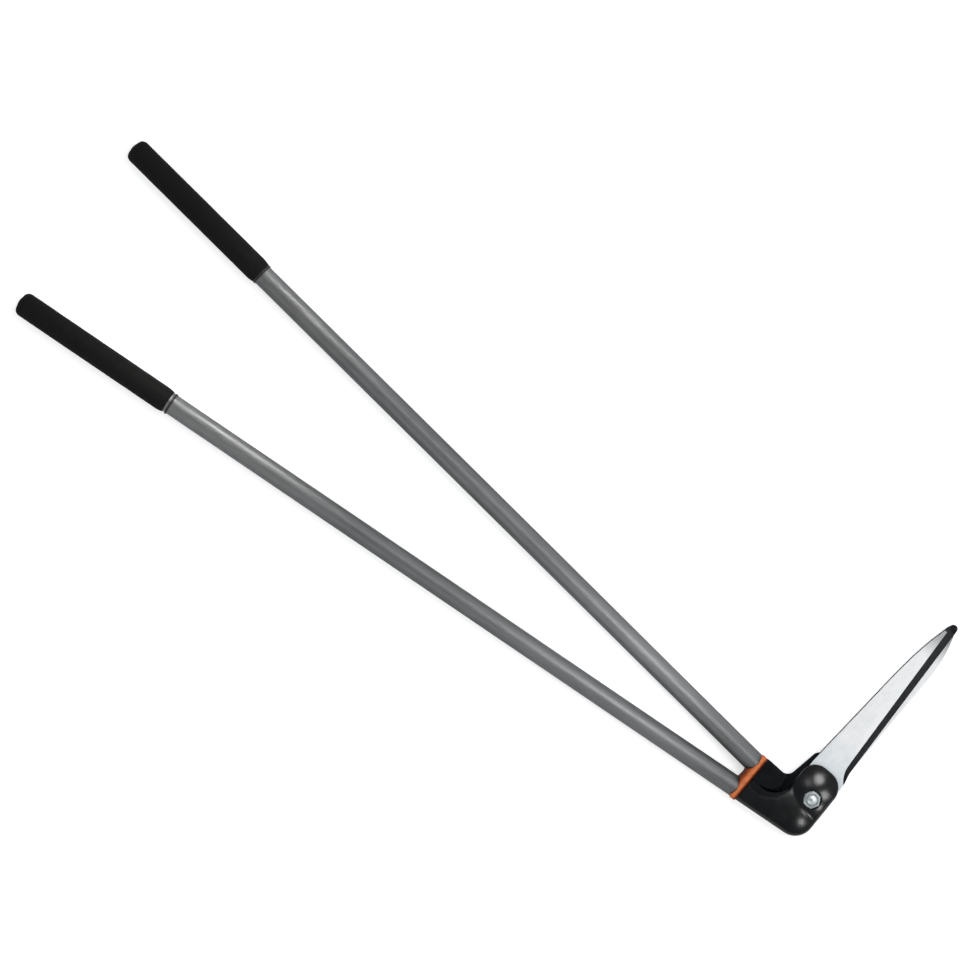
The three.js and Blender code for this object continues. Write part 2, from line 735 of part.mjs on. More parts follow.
// The screw itself: flat head just off the sliding face, point away from it
function bladeScrewGeometry() {
  const coneEnd = runningGap + bladeScrewHeadRadius - bladeScrewRadius;
  const geometry = turned([
    [0, runningGap], [bladeScrewHeadRadius, runningGap], [bladeScrewRadius, coneEnd],
    [bladeScrewRadius, bladeScrewLength - bladeScrewRadius], [0, bladeScrewLength],
  ], roundSegments / 2);
  geometry.rotateX(Math.PI / 2);
  return geometry;
}

// Pivot pieces

function hexPrism(width, low, high) {
  return upright(width / Math.sqrt(3), low, high, 0, 0, 6);
}

function boltSolid() {
  const edge = boltRadius - boltEndEdge;
  const rise = boltEndStandOut - boltEndEdge;
  const dome = [];
  for (let step = 0; step <= arcSegments; step += 1) {
    const share = 1 - step / arcSegments;
    dome.push([edge * share, nutTop + boltEndStandOut - rise * share ** 2]);
  }
  const shank = turned([
    [0, boltHeadHeight / 2], [boltRadius, boltHeadHeight / 2], [boltRadius, nutTop], ...dome,
  ]);
  shank.rotateX(Math.PI / 2);
  return hexPrism(boltHeadWidth, 0, boltHeadHeight).add(solidOf(shank));
}

function nutSolid() {
  const corner = nutWidth / Math.sqrt(3);
  const hexTop = nutBottom + nutHexHeight;
  const chamfer = turned([
    [0, nutBottom - cutOverrun], [corner + cutOverrun, nutBottom - cutOverrun],
    [corner + cutOverrun, hexTop - nutChamfer - cutOverrun / 2],
    [nutCollarRadius, hexTop], [nutCollarRadius, nutTop - insertSink],
    [nutCollarRadius - insertSink, nutTop], [0, nutTop],
  ]);
  chamfer.rotateX(Math.PI / 2);
  return hexPrism(nutWidth, nutBottom, nutTop)
    .intersect(solidOf(chamfer))
    .subtract(upright(insertRadius + runningGap, insertBottom, nutTop + cutOverrun))
    .subtract(upright(boltRadius + fitGap, nutBottom - cutOverrun, nutTop + cutOverrun));
}

function flatRing(inner, outer, low, high) {
  const geometry = turnedRing(inner, outer, low, high);
  geometry.rotateX(Math.PI / 2);
  return geometry;
}

// Assembly

function addHandlePieces(handle, prefix, reach, ringStandOff) {
  const tubeScrew = named(`${prefix}_tube_screw`, tubeScrewGeometry(), zincFinish);
  tubeScrew.rotation.x = Math.PI / 2;
  tubeScrew.position.set(0, tubeStart(handle) + tubeScrewSetIn, -tubeRadius - runningGap);
  handle.add(
    named(`${prefix}_tube`, tubeGeometry(handle, reach), tubeFinish),
    named(`${prefix}_tube_plug`, plugGeometry(reach), plugFinish),
    named(`${prefix}_grip`, gripGeometry(reach), foamFinish),
    named(`${prefix}_grip_ring`, gripRingGeometry(reach, ringStandOff), plugFinish),
    tubeScrew,
  );
}

function bladeGroup(prefix, blade, slidingFace, up) {
  const group = new THREE.Group();
  group.position.z = slidingFace;
  group.rotation.x = up > 0 ? 0 : Math.PI;
  group.add(named(`${prefix}_blade`, bladeGeometry(blade), bladeFinish));
  bladeScrewPlaces().forEach(([x, y], index) => {
    const screw = named(`${prefix}_blade_screw_${index + 1}`, bladeScrewGeometry(), zincFinish);
    screw.position.set(x, y, 0);
    group.add(screw);
  });
  return group;
}

const frontLever = new THREE.Group();
addHandlePieces(frontHandle, 'front', frontReach, frontRingStandOff);
frontLever.add(
  frontHandle,
  bladeGroup('front', frontBlade, frontBladeHeight, 1),
  named('front_holder', geometryOf(frontHolderSolid()), holderFinish),
  named('front_collar', geometryOf(collarSolid(frontHandle, 1)), collarFinish),
);

const rearLever = new THREE.Group();
addHandlePieces(rearHandle, 'rear', rearReach, rearRingStandOff);
rearLever.add(
  rearHandle,
  bladeGroup('rear', rearBlade, rearBladeHeight, -1),
  named('rear_holder', geometryOf(rearHolderSolid()), holderFinish),
  named('rear_collar', geometryOf(collarSolid(rearHandle, -1)), collarFinish),
);

const pivot = new THREE.Group();
pivot.add(
  named('pivot_bolt', geometryOf(boltSolid()), zincFinish),
  named('pivot_bush', flatRing(boltRadius + fitGap, bushRadius, boltHeadHeight, bushTop), zincFinish),
  named('blade_washer', flatRing(bushRadius + fitGap, bladeWasherRadius,
    rearBladeHeight + bladeWasherGap, frontBladeHeight - bladeWasherGap), nylonFinish),
  named('nut_washer', flatRing(boltRadius + fitGap, nutWasherRadius, bushTop, nutBottom), zincFinish),
  named('pivot_nut', geometryOf(nutSolid()), zincFinish),
  named('nut_insert', flatRing(boltRadius + runningGap, insertRadius, insertBottom, insertTop), nylonFinish),
);

const shears = new THREE.Group();
shears.add(frontLever, rearLever, pivot);

export default shears;
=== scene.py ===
# Long handled edging shears, dressed for a studio shot from straight above.
# Metres. +Z runs up the pivot, +X along the closed blades, +Y towards the grips.

import json
import math

import bmesh
import bpy
from mathutils import Matrix, Vector, noise

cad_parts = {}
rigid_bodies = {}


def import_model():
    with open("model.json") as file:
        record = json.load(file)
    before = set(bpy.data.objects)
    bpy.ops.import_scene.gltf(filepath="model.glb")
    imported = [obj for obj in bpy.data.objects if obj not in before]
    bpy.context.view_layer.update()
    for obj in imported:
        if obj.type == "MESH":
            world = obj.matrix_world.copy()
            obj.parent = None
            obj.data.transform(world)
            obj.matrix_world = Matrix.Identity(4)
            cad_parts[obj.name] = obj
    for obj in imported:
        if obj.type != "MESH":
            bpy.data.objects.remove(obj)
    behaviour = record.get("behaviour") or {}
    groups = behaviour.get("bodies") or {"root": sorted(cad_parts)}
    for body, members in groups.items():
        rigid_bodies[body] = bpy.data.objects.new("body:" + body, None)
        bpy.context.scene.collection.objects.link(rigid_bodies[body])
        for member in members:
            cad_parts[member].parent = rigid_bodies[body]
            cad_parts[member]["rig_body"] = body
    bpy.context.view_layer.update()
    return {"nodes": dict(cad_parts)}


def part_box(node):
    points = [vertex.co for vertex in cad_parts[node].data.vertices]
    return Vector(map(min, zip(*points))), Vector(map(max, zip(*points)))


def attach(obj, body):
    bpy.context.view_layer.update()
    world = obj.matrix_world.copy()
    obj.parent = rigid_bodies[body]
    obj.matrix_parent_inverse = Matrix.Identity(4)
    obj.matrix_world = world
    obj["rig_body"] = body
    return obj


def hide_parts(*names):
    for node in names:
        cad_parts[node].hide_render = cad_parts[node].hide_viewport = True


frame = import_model()
nodes = frame["nodes"]
mm = 0.001
print("frame loaded,", len(nodes), "nodes")


# ---- small helpers for meshes

def smoothStep(low, high, value):
    t = min(max((value - low) / (high - low), 0.0), 1.0)
    return t * t * (3.0 - 2.0 * t)


def addPiece(name, mesh, body, material, replaced=()):
    piece = bpy.data.objects.new(name, mesh)
    bpy.context.scene.collection.objects.link(piece)
    kept = [face.material_index for face in mesh.polygons]
    mesh.materials.clear()
    mesh.materials.append(material)
    mesh.polygons.foreach_set("material_index", kept)
    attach(piece, body)
    if replaced:
        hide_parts(*replaced)
    return piece


def bodyOf(node):
    return nodes[node]["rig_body"]


def axisOf(side):
    # a handle's axis runs through the middles of its tube and of its grip's ring
    low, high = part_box(side + "_tube")
    ringLow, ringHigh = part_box(side + "_grip_ring")
    start = (low + high) / 2
    along = ((ringLow + ringHigh) / 2 - start).normalized()
    across = along.cross(Vector((0, 0, 1))).normalized()
    place = Matrix((across, along, across.cross(along))).transposed().to_4x4()
    place.translation = start
    return place


def spanOf(node, place):
    # how far a node reaches along a handle, and its inner and outer radius
    inward = place.inverted()
    spots = [inward @ v.co for v in nodes[node].data.vertices]
    radii = [math.hypot(p.x, p.z) for p in spots]
    return min(p.y for p in spots), max(p.y for p in spots), min(radii), max(radii)


def turned(profile, sides, place, wobble=None):
    # a turned skin about the local Y axis from (radius, height) pairs
    mesh = bpy.data.meshes.new("turned")
    bm = bmesh.new()
    rings = []
    for radius, height in profile:
        if radius < 1e-7:
            rings.append([bm.verts.new((0, height, 0))])
            continue
        ring = []
        for step in range(sides):
            turn = math.tau * step / sides
            spot = Vector((radius * math.cos(turn), height, radius * math.sin(turn)))
            if wobble:
                spot = wobble(spot, radius)
            ring.append(bm.verts.new(spot))
        rings.append(ring)
    for first, second in zip(rings, rings[1:]):
        for step in range(sides):
            after = (step + 1) % sides
            corners = [first[step % len(first)], first[after % len(first)],
                       second[after % len(second)], second[step % len(second)]]
            kept = []
            for corner in corners:
                if corner not in kept:
                    kept.append(corner)
            if len(kept) > 2:
                bm.faces.new(kept)
    bmesh.ops.remove_doubles(bm, verts=bm.verts, dist=1e-8)
    bmesh.ops.recalc_face_normals(bm, faces=bm.faces)
    bm.to_mesh(mesh)
    bm.free()
    mesh.transform(place)
    for face in mesh.polygons:
        face.use_smooth = True
    return mesh


def arcPoints(centreRadius, centreHeight, radius, startTurn, endTurn, steps):
    points = []
    for step in range(steps + 1):
        turn = math.radians(startTurn + (endTurn - startTurn) * step / steps)
        points.append((centreRadius + radius * math.cos(turn), centreHeight + radius * math.sin(turn)))
    return points


def weldedCopy(node):
    mesh = nodes[node].data.copy()
    bm = bmesh.new()
    bm.from_mesh(mesh)
    bmesh.ops.remove_doubles(bm, verts=bm.verts, dist=1e-6)
    bm.to_mesh(mesh)
    bm.free()
    return mesh


def softened(node, name, material, look, sculpt, settle):
    # a fine moulded skin over a solid: remeshed, eased, shaped, eased again, then settled in place
    mesh = weldedCopy(node)
    rough = bpy.data.objects.new("rough", mesh)
    bpy.context.scene.collection.objects.link(rough)
    remesh = rough.modifiers.new("remesh", "REMESH")
    remesh.mode = "VOXEL"
    remesh.voxel_size = look["voxel"]
    ease = rough.modifiers.new("ease", "SMOOTH")
    ease.factor = 0.5
    ease.iterations = look["passes"]
    depsgraph = bpy.context.evaluated_depsgraph_get()
    fine = bpy.data.meshes.new_from_object(rough.evaluated_get(depsgraph))
    bpy.data.objects.remove(rough)
    shaped = [sculpt(vertex.co.copy(), vertex.normal) for vertex in fine.vertices]
    bm = bmesh.new()
    bm.from_mesh(fine)
    for vertex, spot in zip(bm.verts, shaped):
        vertex.co = spot
    for _ in range(look["afterPasses"]):
        bmesh.ops.smooth_vert(bm, verts=bm.verts, factor=0.5, use_axis_x=True, use_axis_y=True, use_axis_z=True)
    for vertex in bm.verts:
        vertex.co = settle(vertex.co.copy())
    bm.to_mesh(fine)
    bm.free()
    for face in fine.polygons:
        face.use_smooth = True
    return addPiece(name, fine, bodyOf(node), material, [node])


def edged(node, name, material, edge, segments=2, creaseAngle=32):
    # a crisp piece over a solid: flat faces kept flat, edges broken by a fine bevel
    mesh = weldedCopy(node)
    bm = bmesh.new()
    bm.from_mesh(mesh)
    bmesh.ops.dissolve_limit(bm, angle_limit=math.radians(0.6), verts=bm.verts, edges=bm.edges)
    creases = [e for e in bm.edges if len(e.link_faces) == 2
               and e.calc_face_angle(0.0) > math.radians(creaseAngle)]
    bmesh.ops.bevel(bm, geom=creases, offset=edge, segments=segments, profile=0.5,
                    affect="EDGES", clamp_overlap=True)
    return finishEdged(bm, mesh, name, node, material)


def finishEdged(bm, mesh, name, node, material):
    bm.to_mesh(mesh)
    bm.free()
    for face in mesh.polygons:
        face.use_smooth = True
    piece = addPiece(name, mesh, bodyOf(node), material, [node])
    even = piece.modifiers.new("evenNormals", "WEIGHTED_NORMAL")
    even.mode = "FACE_AREA"
    even.weight = 90
    return piece


# ---- small helpers for materials

class Paint:
    # a material with its node tree at hand
    def __init__(self, name, **settings):
        self.material = bpy.data.materials.new(name)
        self.material.use_nodes = True
        self.tree = self.material.node_tree
        self.shader = self.tree.nodes["Principled BSDF"]
        for socket, value in settings.items():
            self.shader.inputs[socket.replace("_", " ")].default_value = value

    def add(self, kind, **settings):
        node = self.tree.nodes.new(kind)
        for key, value in settings.items():
            setattr(node, key, value)
        return node

    def link(self, start, end):
        self.tree.links.new(start, end)

    def coords(self, stretch=(1, 1, 1), turn=0.0, output="Object"):
        source = self.add("ShaderNodeTexCoord")
        mapping = self.add("ShaderNodeMapping", vector_type="TEXTURE")
        mapping.inputs["Rotation"].default_value = (0, 0, turn)
        mapping.inputs["Scale"].default_value = stretch
        self.link(source.outputs[output], mapping.inputs["Vector"])
        return mapping.outputs["Vector"]

    def noise(self, scale, detail=4.0, roughness=0.55, stretch=(1, 1, 1), turn=0.0):
        texture = self.add("ShaderNodeTexNoise")
        texture.inputs["Scale"].default_value = scale
        texture.inputs["Detail"].default_value = detail
        texture.inputs["Roughness"].default_value = roughness
        self.link(self.coords(stretch, turn), texture.inputs["Vector"])
        return texture.outputs["Fac"]

    def cells(self, scale, feature="F1"):
        texture = self.add("ShaderNodeTexVoronoi", feature=feature)
        texture.inputs["Scale"].default_value = scale
        self.link(self.coords(), texture.inputs["Vector"])
        return texture.outputs["Distance"]

    def ramp(self, value, stops):
        node = self.add("ShaderNodeValToRGB")
        elements = node.color_ramp.elements
        while len(elements) < len(stops):
            elements.new(0.5)
        for element, (place, color) in zip(elements, stops):
            element.position = place
            element.color = (*color, 1) if len(color) == 3 else color
        self.link(value, node.inputs["Fac"])
        return node.outputs["Color"]

    def spread(self, value, low, high, fromLow=0.3, fromHigh=0.7):
        node = self.add("ShaderNodeMapRange")
        for socket, number in zip(("From Min", "From Max", "To Min", "To Max"), (fromLow, fromHigh, low, high)):
            node.inputs[socket].default_value = number
        self.link(value, node.inputs["Value"])
        return node.outputs["Result"]

    def flat(self, color):
        node = self.add("ShaderNodeRGB")
        node.outputs["Color"].default_value = (*color, 1)
        return node.outputs["Color"]

    def product(self, first, second):
        node = self.add("ShaderNodeMix", data_type="RGBA", blend_type="MULTIPLY")
        node.inputs["Factor"].default_value = 1.0
        self.link(first, node.inputs[6])
        self.link(second, node.inputs[7])
        return node.outputs[2]

    def math(self, operation, first, second):
        node = self.add("ShaderNodeMath", operation=operation)
        for socket, value in zip(node.inputs, (first, second)):
            if isinstance(value, (int, float)):
                socket.default_value = value
            else:
                self.link(value, socket)
        return node.outputs["Value"]

    def mixColor(self, share, first, second, blend="MIX"):
        node = self.add("ShaderNodeMix", data_type="RGBA", blend_type=blend)
        self.link(share, node.inputs["Factor"])
        for socket, value in ((node.inputs[6], first), (node.inputs[7], second)):
            if isinstance(value, tuple):
                socket.default_value = (*value, 1)
            else:
                self.link(value, socket)
        return node.outputs[2]

    def mixValue(self, share, first, second):
        node = self.add("ShaderNodeMix", data_type="FLOAT")
        self.link(share, node.inputs["Factor"])
        for socket, value in ((node.inputs[2], first), (node.inputs[3], second)):
            if isinstance(value, (int, float)):
                socket.default_value = value
            else:
                self.link(value, socket)
        return node.outputs[0]

    def color(self, value):
        self.link(value, self.shader.inputs["Base Color"])

    def roughness(self, value):
        self.link(value, self.shader.inputs["Roughness"])

    def bump(self, height, depth, strength=1.0, under=None):
        node = self.add("ShaderNodeBump")
        node.inputs["Strength"].default_value = strength
        node.inputs["Distance"].default_value = depth
        self.link(height, node.inputs["Height"])
        if under:
            self.link(under, node.inputs["Normal"])
        self.link(node.outputs["Normal"], self.shader.inputs["Normal"])
        return node.outputs["Normal"]


# ---- tubes: satin lacquered aluminium, drawn lines along the length

tubeLook = {
    "dark": (0.132, 0.135, 0.135),
    "light": (0.246, 0.251, 0.252),
    "metal": 0.70,
    "roughLow": 0.43,
    "roughHigh": 0.53,
    "edgeTint": (0.45, 0.45, 0.46, 1),
    "lineStretch": 60,
    "lineScale": 2600,
    "grainScale": 5200,
    "patchScale": 16,
    "sides": 128,
    "edge": 0.35 * mm,
}


def tubePaint(side, place):
    paint = Paint(side + "TubeSatin", Metallic=tubeLook["metal"], Specular_Tint=tubeLook["edgeTint"])
    turn = math.atan2(place.col[1].y, place.col[1].x) - math.pi / 2
    lines = paint.noise(tubeLook["lineScale"], 3, 0.6, (1, tubeLook["lineStretch"], 1), turn)
    grain = paint.noise(tubeLook["grainScale"], 2)
    patches = paint.noise(tubeLook["patchScale"], 5, 0.6, (1, 4, 1), turn)
    mixed = paint.math("ADD", paint.math("MULTIPLY", lines, 0.35), paint.math("MULTIPLY", patches, 0.65))
    paint.color(paint.ramp(mixed, [(0.36, tubeLook["dark"]), (0.62, tubeLook["light"])]))
    paint.roughness(paint.spread(patches, tubeLook["roughLow"], tubeLook["roughHigh"]))
    height = paint.math("ADD", paint.math("MULTIPLY", lines, 0.6), paint.math("MULTIPLY", grain, 0.4))
    paint.bump(height, 0.018 * mm)
    return paint.material


def makeTube(side):
    place = axisOf(side)
    low, high, inner, outer = spanOf(side + "_tube", place)
    edge = tubeLook["edge"]
    profile = [(inner, low + edge)]
    profile += arcPoints(inner + edge, low + edge, edge, 180, 270, 4)[1:]
    profile += arcPoints(outer - edge, low + edge, edge, 270, 360, 4)
    profile += arcPoints(outer - edge, high - edge, edge, 0, 90, 4)
    profile += arcPoints(inner + edge, high - edge, edge, 90, 180, 4)
    profile.append(profile[0])
    mesh = turned(profile, tubeLook["sides"], place)
    node = side + "_tube"
    return addPiece(side + "_tube_skin", mesh, bodyOf(node), tubePaint(side, place), [node])


# ---- grips: soft closed foam, drawn in a little at the mouth, domed at the end

gripLook = {
    "sides": 160,
    "rows": 120,
    "mouthRound": 1.3 * mm,
    "wave": 0.14 * mm,
    "waveScale": 55,
    "pinch": 0.10 * mm,
    "pinchScale": 210,
    "dark": (0.0030, 0.0030, 0.0030),
    "light": (0.0092, 0.0091, 0.0088),
    "poreScale": 1500,
    "grainScale": 3800,
    "roughLow": 0.80,
    "roughHigh": 0.98,
}


def foamPaint():
    paint = Paint("gripFoam", Specular_IOR_Level=0.2)
    pores = paint.cells(gripLook["poreScale"])
    grain = paint.noise(gripLook["grainScale"], 3)
    shade = paint.noise(60, 5, 0.6)
    mixed = paint.math("ADD", paint.math("MULTIPLY", grain, 0.5), paint.math("MULTIPLY", shade, 0.5))
    paint.color(paint.ramp(mixed, [(0.35, gripLook["dark"]), (0.68, gripLook["light"])]))
    paint.roughness(paint.spread(shade, gripLook["roughLow"], gripLook["roughHigh"]))
    height = paint.math("ADD", paint.math("MULTIPLY", pores, 0.7), paint.math("MULTIPLY", grain, 0.5))
    paint.bump(height, 0.16 * mm)
    return paint.material


def makeGrip(side, material):
    place = axisOf(side)
    node = side + "_grip"
    mouth, end, _, outer = spanOf(node, place)
    _, tubeEnd, _, tubeOuter = spanOf(side + "_tube", place)
    spots = [place.inverted() @ v.co for v in nodes[node].data.vertices]
    bore = min(math.hypot(p.x, p.z) for p in spots if abs(p.y - mouth) < 0.5 * mm)
    mouthRadius = max(math.hypot(p.x, p.z) for p in spots if abs(p.y - mouth) < 0.5 * mm)
    ceiling = min(p.y for p in spots if math.hypot(p.x, p.z) < 0.5 * mm)
    endRound, endDome, taper = 7 * mm, 1.2 * mm, 8 * mm
    lip = min(gripLook["mouthRound"], (mouthRadius - bore) * 0.8)
    rim = gripLook["mouthRound"] * 0.4
    profile = [(bore, mouth + rim)] + [(bore + rim * 0.4, mouth + rim * 0.2)]
    profile += arcPoints(mouthRadius - lip * 0.6, mouth + lip * 0.6, lip * 0.6, 270, 350, 5)
    for step in range(1, 9):
        t = step / 8
        profile.append((mouthRadius + (outer - mouthRadius) * math.sin(t * math.pi / 2),
                        mouth + lip * 0.6 + (taper - lip * 0.6) * t))
    shoulder = end - endDome - endRound
    for step in range(1, gripLook["rows"]):
        profile.append((outer, mouth + taper + (shoulder - mouth - taper) * step / gripLook["rows"]))
    profile += arcPoints(outer - endRound, shoulder, endRound, 0, 90, 12)
    flat = outer - endRound
    for step in range(1, 9):
        t = step / 8
        profile.append((flat * (1 - t), end - endDome * (1 - t) ** 2))
    inside = [(0.0, ceiling)] + [(bore, ceiling), (bore, mouth + rim)]
    seed = Vector((3.1, 7.7, 1.9)) if side == "front" else Vector((12.4, 2.2, 8.8))

    def wobble(spot, radius):
        if radius < bore + 0.3 * mm:
            return spot
        soft = noise.noise(spot * gripLook["waveScale"] + seed) * gripLook["wave"]
        fine = noise.noise(spot * gripLook["pinchScale"] + seed) * gripLook["pinch"]
        inwardOnly = min(soft + fine, 0.0) + 0.3 * max(soft + fine, 0.0) - 0.05 * mm
        return Vector((spot.x * (1 + inwardOnly / radius), spot.y, spot.z * (1 + inwardOnly / radius)))

    mesh = turned(profile + inside, gripLook["sides"], place, wobble)
    piece = addPiece(side + "_grip_foam", mesh, bodyOf(node), material, [node])
    return piece


# ---- grip rings and tube plugs: black rubber

def rubberPaint():
    paint = Paint("blackRubber")
    grain = paint.noise(2400, 3)
    shade = paint.noise(120, 4)
    paint.color(paint.ramp(shade, [(0.3, (0.006, 0.006, 0.006)), (0.7, (0.016, 0.016, 0.016))]))
    paint.roughness(paint.spread(grain, 0.48, 0.66))
    paint.bump(grain, 0.03 * mm)
    return paint.material


def makeRing(side, material):
    place = axisOf(side)
    node = side + "_grip_ring"
    low, high, inner, outer = spanOf(node, place)
    bulge = (high - low) / 2
    profile = [(inner, low + bulge * 0.3), (inner, high - bulge * 0.3)]
    for step in range(13):
        turn = math.pi * (0.5 - step / 12)
        profile.append((inner + (outer - inner) * (0.25 + 0.75 * math.cos(turn)),
                        (low + high) / 2 + bulge * math.sin(turn)))
    profile.append(profile[0])
    mesh = turned(profile, 96, place)
    return addPiece(side + "_grip_ring_band", mesh, bodyOf(node), material, [node])


# ---- where the closed levers meet, the mating faces lie a hair apart

parting = {
    "place": -22.9 * mm,
    "hair": 0.03 * mm,
    "snap": 0.5 * mm,
    "cornerRadius": 18.5 * mm,
    "corner": (-4.2 * mm, 50.5 * mm),
    "ledgeTop": 10.2 * mm,
    "bridgeSide": -13.6 * mm,
    "bridgeFrom": 24 * mm,
    "bridgeGap": 0.66 * mm,
    "topFrom": 24.4 * mm,
    "topReach": 1.3 * mm,
    "topDrop": 0.25 * mm,
}


def closeParting(spot, side):
    toward = 1 if side == "front" else -1
    short = (parting["place"] - spot.x) * toward
    if spot.y > parting["corner"][1] and abs(short) < parting["snap"]:
        spot.x = parting["place"] - parting["hair"] * toward
    return spot


# ---- holders: moulded black plastic, semi gloss

holderLook = {
    "voxel": 0.5 * mm,
    "passes": 7,
    "afterPasses": 3,
    "upFrom": 0.55,
    "upTo": 0.88,
    "dark": (0.0018, 0.0021, 0.0026),
    "light": (0.0044, 0.0050, 0.0060),
    "roughLow": 0.13,
    "roughHigh": 0.20,
    "shine": 0.43,
    "rearRough": 0.34,
    "rearShine": 0.10,
    "rearLift": 1.8,
    "mattCentre": (-4.2 * mm, 50.5 * mm, 26 * mm),
    "mattFrom": 26 * mm,
    "mattTo": 30 * mm,
    "mattRough": 0.30,
    "mattShine": 0.10,
    "grainScale": 3000,
    "top": 26 * mm,
    "crownRadius": 90 * mm,
    "heel": (-24 * mm, 4 * mm),
    "neck": (-36 * mm, 108 * mm),
    "blend": 0.5 * mm,
}


def holderPaint(name, shine, lift, duller):
    # the rear holder is a duller, shaded copy of the same plastic: its colour is lifted a little greyer and it
    # shines less, painted light that stands in for how light falls on it
    paint = Paint(name)
    grain = paint.noise(holderLook["grainScale"], 2)
    cloud = paint.noise(70, 5, 0.6)
    scuff = paint.noise(420, 6, 0.7, (1, 5, 1), math.radians(25))
    dark, light = ([channel * lift for channel in holderLook[shade]] for shade in ("dark", "light"))
    paint.color(paint.ramp(cloud, [(0.32, dark), (0.68, light)]))
    worn = paint.spread(scuff, 0.0, 0.10, 0.56, 0.74)
    base = paint.spread(cloud, holderLook["roughLow"] + duller, holderLook["roughHigh"] + duller)
    # the mould is left matt round the crescent
    away = paint.add("ShaderNodeVectorMath", operation="DISTANCE")
    away.inputs[1].default_value = holderLook["mattCentre"]
    paint.link(paint.coords(), away.inputs[0])
    matt = paint.spread(away.outputs["Value"], holderLook["mattRough"], 0.0, holderLook["mattFrom"], holderLook["mattTo"])
    paint.roughness(paint.math("ADD", paint.math("ADD", base, worn), matt))
    dim = paint.spread(away.outputs["Value"], holderLook["mattShine"], shine, holderLook["mattFrom"], holderLook["mattTo"])
    paint.link(dim, paint.shader.inputs["Specular IOR Level"])
    height = paint.math("ADD", paint.math("MULTIPLY", grain, 0.7), paint.math("MULTIPLY", cloud, 0.6))
    paint.bump(height, 0.008 * mm)
    return paint.material


def crownHeights(x, y):
    # two shallow domes, over the pivot and over the heel: as crossing surfaces, then run together
    heel, neck = Vector(holderLook["heel"]), Vector(holderLook["neck"])
    upNeck = (neck - heel).normalized()
    away = Vector((x, y)) - heel
    along = away.dot(upNeck)
    across = away.length_squared - along * along
    overHeel = (across + min(along, 0.0) ** 2) / (2 * holderLook["crownRadius"])
    overPivot = (x * x + y * y) / (2 * holderLook["crownRadius"])
    crossing = holderLook["top"] - min(overHeel, overPivot)
    near = max(holderLook["blend"] - abs(overHeel - overPivot), 0.0)
    return crossing, crossing + near * near / (4 * holderLook["blend"])


def besideParting(spot):
    reach = abs(spot.x - parting["place"])
    return spot.y > parting["corner"][1] and spot.z > parting["topFrom"] and reach < parting["topReach"]


def frontHolderShape(spot, normal):
    crossing, smooth = crownHeights(spot.x, spot.y)
    onCrown = 1.0 - smoothStep(0.25 * mm, 0.75 * mm, abs(spot.z - crossing))
    onCrown *= smoothStep(holderLook["upFrom"], holderLook["upTo"], normal.z)
    if besideParting(spot):
        onCrown = 1.0
    spot.z += (smooth - spot.z) * onCrown
    # the ledge below the crescent follows the rear holder's rounded corner and its bridge
    corner = Vector(parting["corner"])
    out = Vector((spot.x, spot.y)) - corner
    target = parting["cornerRadius"] + parting["hair"] * 2
    if spot.z < parting["ledgeTop"]:
        if out.x < 0 and out.y < 0 and 0 < out.length - target < 0.7 * mm:
            spot.x, spot.y = corner + out.normalized() * target
        if abs(spot.x - parting["bridgeSide"]) < 0.3 * mm and spot.y > parting["bridgeFrom"]:
            spot.x = parting["bridgeSide"] + parting["bridgeGap"]
    return spot


def rearHolderShape(spot, normal):
    if besideParting(spot) and normal.z > 0:
        spot.z = holderLook["top"] - parting["topDrop"]
    return spot


# ---- collars: orange bumper plastic

collarLook = {
    "voxel": 0.32 * mm,
    "passes": 4,
    "afterPasses": 2,
    # painted light: the deep tone is painted shade, the bright tone a painted highlight
    "deep": (0.125, 0.023, 0.0035),
    "middle": (0.400, 0.070, 0.010),
    "bright": (0.760, 0.205, 0.068),
    "roughLow": 0.40,
    "roughHigh": 0.56,
    "joint": 60.3 * mm,
    "skinFrom": 11.5 * mm,
    "skinTo": 12.4 * mm,
    "axisHeight": 13 * mm,
    "reach": 2.6 * mm,
}


def collarPaint():
    # painted highlight along the bead near the joint, painted shade down its flank, in the saddle and right at the
    # joint
    paint = Paint("collarOrange", Specular_IOR_Level=0.25, Subsurface_Weight=0.05)
    grain = paint.noise(2200, 3)
    cloud = paint.noise(260, 5, 0.65)
    place = paint.add("ShaderNodeSeparateXYZ")
    paint.link(paint.coords(), place.inputs["Vector"])
    along = paint.math("ADD", place.outputs["Y"], paint.math("MULTIPLY", cloud, 1.6 * mm))
    joint = collarLook["joint"] + 0.8 * mm
    # painted shade at the joint and past the bead, painted highlight on the bead
    rising = paint.spread(along, 0.0, 1.0, joint + 1.0 * mm, joint + 3.0 * mm)
    falling = paint.spread(along, 1.0, 0.0, joint + 5.4 * mm, joint + 9.6 * mm)
    paintedBeadLight = paint.math("MULTIPLY", rising, falling)
    skin = paint.ramp(paintedBeadLight, [(0.0, collarLook["deep"]), (0.35, collarLook["middle"]), (1.0, collarLook["bright"])])
    worn = paint.ramp(cloud, [(0.30, (0.72, 0.70, 0.68)), (0.60, (1.0, 1.0, 1.0))])
    paint.color(paint.product(skin, worn))
    paint.roughness(paint.spread(cloud, collarLook["roughLow"], collarLook["roughHigh"]))
    paint.bump(grain, 0.03 * mm)
    return paint.material


